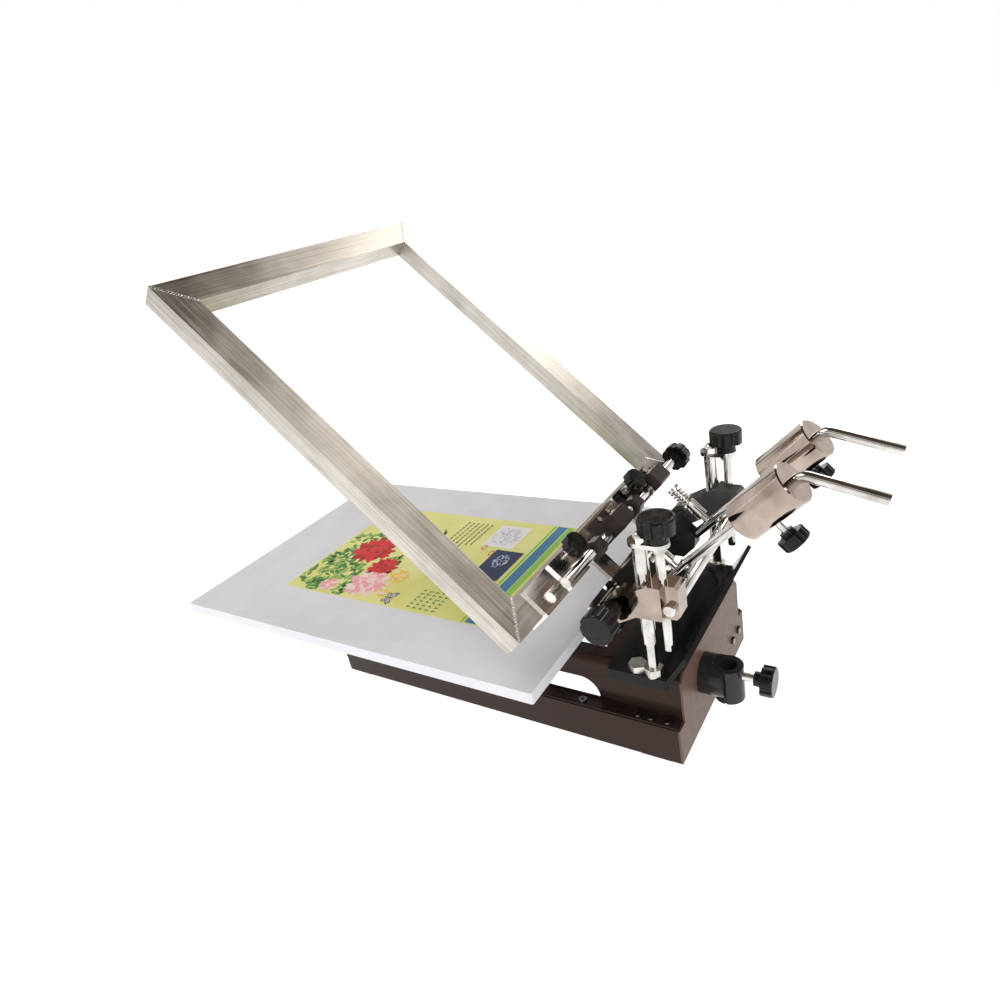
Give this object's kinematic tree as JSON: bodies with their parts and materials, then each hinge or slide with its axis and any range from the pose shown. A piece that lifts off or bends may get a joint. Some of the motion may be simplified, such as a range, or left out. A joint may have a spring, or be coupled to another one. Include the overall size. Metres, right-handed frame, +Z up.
{
  "type": "screen printing frame",
  "caption": "Table-top screen printing press: hinged aluminium screen frame with counterweight arms over a flat work board on a folded steel base.",
  "frame": {"origin": "on the floor plane, under the middle of the whole machine", "axes": "+Z up; +Y towards the hinge head and counterweights, -Y towards the free end of the screen frame; +X towards the side of the hinge locking knob"},
  "size_m": [0.36, 0.7425, 0.4866],
  "materials": {
    "painted_base": "gloss",
    "black_plate": "gloss",
    "rubber": "matt",
    "white_board": "satin",
    "printed_paper": "satin",
    "chrome": "polished",
    "dark_casting": "satin",
    "dark_block": "gloss",
    "zinc": "satin",
    "black_knob": "matt",
    "frame_aluminium": "brushed"
  },
  "bodies": {
    "base": {"base_pan": "painted_base", "base_housing": "painted_base", "rear_panel": "painted_base", "foot_pads": "rubber", "pan_screws": "zinc", "rail_bolts": "zinc", "platen_rails": "black_plate", "platen": "white_board", "print_sheet": "printed_paper", "clamp_barrel": "dark_casting", "clamp_boss": "painted_base", "head_bracket": "black_plate", "bracket_bolts": "zinc", "posts": "chrome", "lock_nuts": "zinc", "post_caps": "chrome", "acorn_nuts": "chrome"},
    "socket_lock": {"clamp_stud": "chrome", "clamp_knob": "black_knob"},
    "lift_near": {"height_screw_near": "chrome", "height_knob_near": "black_knob"},
    "lift_far": {"height_screw_far": "chrome", "height_knob_far": "black_knob"},
    "carriage": {"block_near": "chrome", "block_far": "dark_block", "tie_bar": "chrome", "tie_bolts": "chrome", "hinge_shaft": "chrome"},
    "hinge_lock": {"hinge_knob": "black_knob"},
    "swing": {"swing_plate": "chrome", "hub_spacers": "black_plate", "hubs": "black_plate", "hub_bolts": "zinc", "straps": "chrome", "lugs": "dark_casting", "arms": "chrome", "spring_pins": "chrome", "springs": "chrome"},
    "counterweight_near": {"weight_near": "chrome"},
    "counterweight_far": {"weight_far": "chrome"},
    "weight_lock_near": {"weight_stud_near": "chrome", "weight_knob_near": "black_knob"},
    "weight_lock_far": {"weight_stud_far": "chrome", "weight_knob_far": "black_knob"},
    "screen": {"screen_channel": "chrome", "bed_plate": "zinc", "castings": "dark_casting", "casting_bolts": "zinc", "rail_front": "frame_aluminium", "rail_rear": "frame_aluminium", "rail_near": "frame_aluminium", "rail_far": "frame_aluminium", "weld_beads": "frame_aluminium"},
    "side_screw": {"lateral_screw": "chrome", "lateral_knob": "black_knob", "screw_collars": "chrome"},
    "holder_lock_near": {"clamp_screw_near": "chrome", "holder_knob_near": "black_knob"},
    "holder_lock_far": {"clamp_screw_far": "chrome", "holder_knob_far": "black_knob"}
  },
  "joints": [
    {"name": "head_height", "type": "slide", "parent": "base", "child": "carriage", "axis": [0, 0, 1], "range_m": [-0.0025, 0.02]},
    {"name": "lift_screw_near_turn", "type": "hinge", "parent": "base", "child": "lift_near", "pos_m": [0.093, 0.212, 0.2], "axis": [0, 0, 1], "range_deg": [-600, 4200]},
    {"name": "lift_screw_far_turn", "type": "hinge", "parent": "base", "child": "lift_far", "pos_m": [-0.093, 0.212, 0.2], "axis": [0, 0, 1], "range_deg": [-600, 4200]},
    {"name": "screen_lift", "type": "hinge", "parent": "carriage", "child": "swing", "pos_m": [0, 0.1653, 0.162], "axis": [1, 0, 0], "range_deg": [0, 44]},
    {"name": "hinge_knob_turn", "type": "hinge", "parent": "carriage", "child": "hinge_lock", "pos_m": [0.116, 0.1653, 0.162], "axis": [1, 0, 0], "continuous": true},
    {"name": "side_shift", "type": "slide", "parent": "swing", "child": "screen", "axis": [1, 0, 0], "range_m": [-0.008, 0.008]},
    {"name": "side_screw_turn", "type": "hinge", "parent": "screen", "child": "side_screw", "pos_m": [0, 0.12905, 0.18867], "axis": [1, 0, 0], "range_deg": [-2000, 2000]},
    {"name": "holder_screw_near_turn", "type": "hinge", "parent": "screen", "child": "holder_lock_near", "pos_m": [0.07, 0.11543, 0.19904], "axis": [0, 0.6947, 0.7193], "continuous": true},
    {"name": "holder_screw_far_turn", "type": "hinge", "parent": "screen", "child": "holder_lock_far", "pos_m": [-0.07, 0.11543, 0.19904], "axis": [0, 0.6947, 0.7193], "continuous": true},
    {"name": "weight_slide_near", "type": "slide", "parent": "swing", "child": "counterweight_near", "axis": [0, 0.7254, 0.6884], "range_m": [-0.06, 0]},
    {"name": "weight_slide_far", "type": "slide", "parent": "swing", "child": "counterweight_far", "axis": [0, 0.7254, 0.6884], "range_m": [-0.06, 0]},
    {"name": "weight_screw_near_turn", "type": "hinge", "parent": "counterweight_near", "child": "weight_lock_near", "pos_m": [0.045, 0.29511, 0.23004], "axis": [0, 0.6884, -0.7254], "continuous": true},
    {"name": "weight_screw_far_turn", "type": "hinge", "parent": "counterweight_far", "child": "weight_lock_far", "pos_m": [-0.045, 0.30309, 0.23761], "axis": [0, 0.6884, -0.7254], "continuous": true},
    {"name": "socket_screw_turn", "type": "hinge", "parent": "base", "child": "socket_lock", "pos_m": [0.03, 0.26, 0.06], "axis": [0, 1, 0], "continuous": true}
  ],
  "couplings": [
    {"joint": "lift_screw_near_turn", "follows": "head_height", "rad_per_m": 3590.4},
    {"joint": "lift_screw_far_turn", "follows": "head_height", "rad_per_m": 3590.4},
    {"joint": "side_screw_turn", "follows": "side_shift", "rad_per_m": 4188.8}
  ]
}
